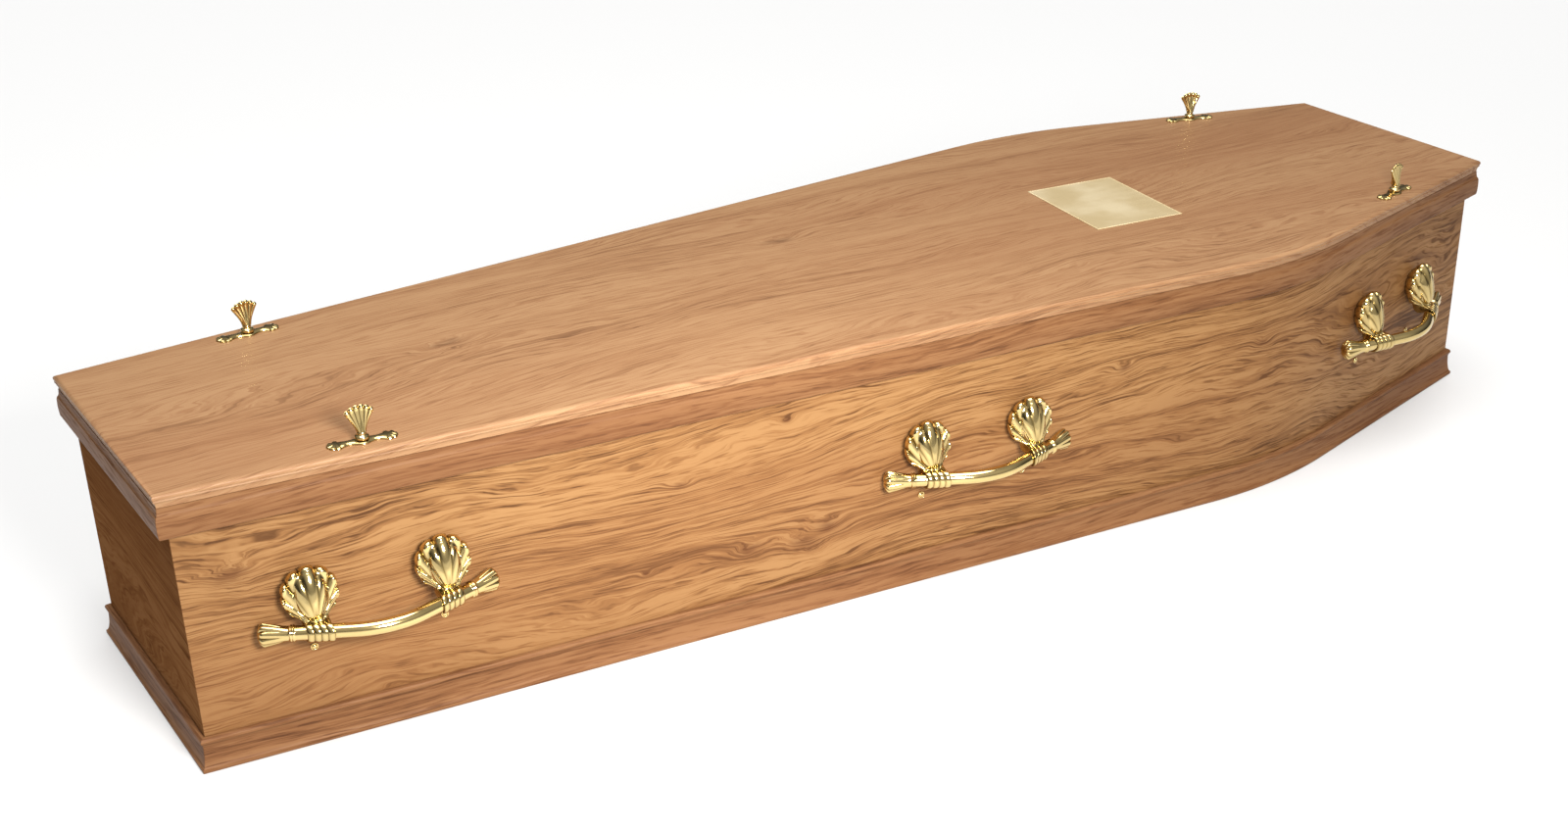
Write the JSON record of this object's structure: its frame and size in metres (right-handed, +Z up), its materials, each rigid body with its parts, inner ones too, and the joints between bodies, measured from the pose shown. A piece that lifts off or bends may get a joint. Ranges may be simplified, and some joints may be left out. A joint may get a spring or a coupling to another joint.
{
  "type": "wooden coffin",
  "caption": "Six-sided wooden coffin with bent shoulders, moulded lift-off lid, bare nameplate, shell-bracket bar handles and upright wreath holders.",
  "frame": {"origin": "on the ground under the middle of the coffin", "axes": "+X towards the head end, +Y towards the right-hand side of the person inside, +Z up"},
  "size_m": [1.9322, 0.648, 0.378],
  "materials": {
    "oak_lid": "satin oak, lengthwise grain",
    "oak_side": "satin oak, lengthwise grain",
    "oak_moulding": "satin oak moulding",
    "raw_board": "plain unfinished board",
    "polished_brass": "polished",
    "nameplate_brass": "pale, softly polished"
  },
  "bodies": {
    "root": {"base_moulding_foot": "oak_moulding", "base_moulding_head": "oak_moulding", "base_moulding_left": "oak_moulding", "base_moulding_right": "oak_moulding", "bracket_left_foot_foot": "polished_brass", "bracket_left_foot_head": "polished_brass", "bracket_left_head_foot": "polished_brass", "bracket_left_head_head": "polished_brass", "bracket_left_middle_foot": "polished_brass", "bracket_left_middle_head": "polished_brass", "bracket_right_foot_foot": "polished_brass", "bracket_right_foot_head": "polished_brass", "bracket_right_head_foot": "polished_brass", "bracket_right_head_head": "polished_brass", "bracket_right_middle_foot": "polished_brass", "bracket_right_middle_head": "polished_brass", "floor_board": "raw_board", "foot_board": "oak_side", "handle_bar_left_foot": "polished_brass", "handle_bar_left_head": "polished_brass", "handle_bar_left_middle": "polished_brass", "handle_bar_right_foot": "polished_brass", "handle_bar_right_head": "polished_brass", "handle_bar_right_middle": "polished_brass", "head_board": "oak_side", "holder_fan_left_foot": "polished_brass", "holder_fan_left_head": "polished_brass", "holder_fan_right_foot": "polished_brass", "holder_fan_right_head": "polished_brass", "holder_plate_left_foot": "polished_brass", "holder_plate_left_head": "polished_brass", "holder_plate_right_foot": "polished_brass", "holder_plate_right_head": "polished_brass", "lid_board": "oak_lid", "lid_moulding_foot": "oak_moulding", "lid_moulding_head": "oak_moulding", "lid_moulding_left": "oak_moulding", "lid_moulding_right": "oak_moulding", "nameplate": "nameplate_brass", "side_board_left": "oak_side", "side_board_right": "oak_side", "stud_left_foot_foot": "polished_brass", "stud_left_foot_head": "polished_brass", "stud_left_head_foot": "polished_brass", "stud_left_head_head": "polished_brass", "stud_left_middle_foot": "polished_brass", "stud_left_middle_head": "polished_brass", "stud_right_foot_foot": "polished_brass", "stud_right_foot_head": "polished_brass", "stud_right_head_foot": "polished_brass", "stud_right_head_head": "polished_brass", "stud_right_middle_foot": "polished_brass", "stud_right_middle_head": "polished_brass"}
  },
  "joints": []
}
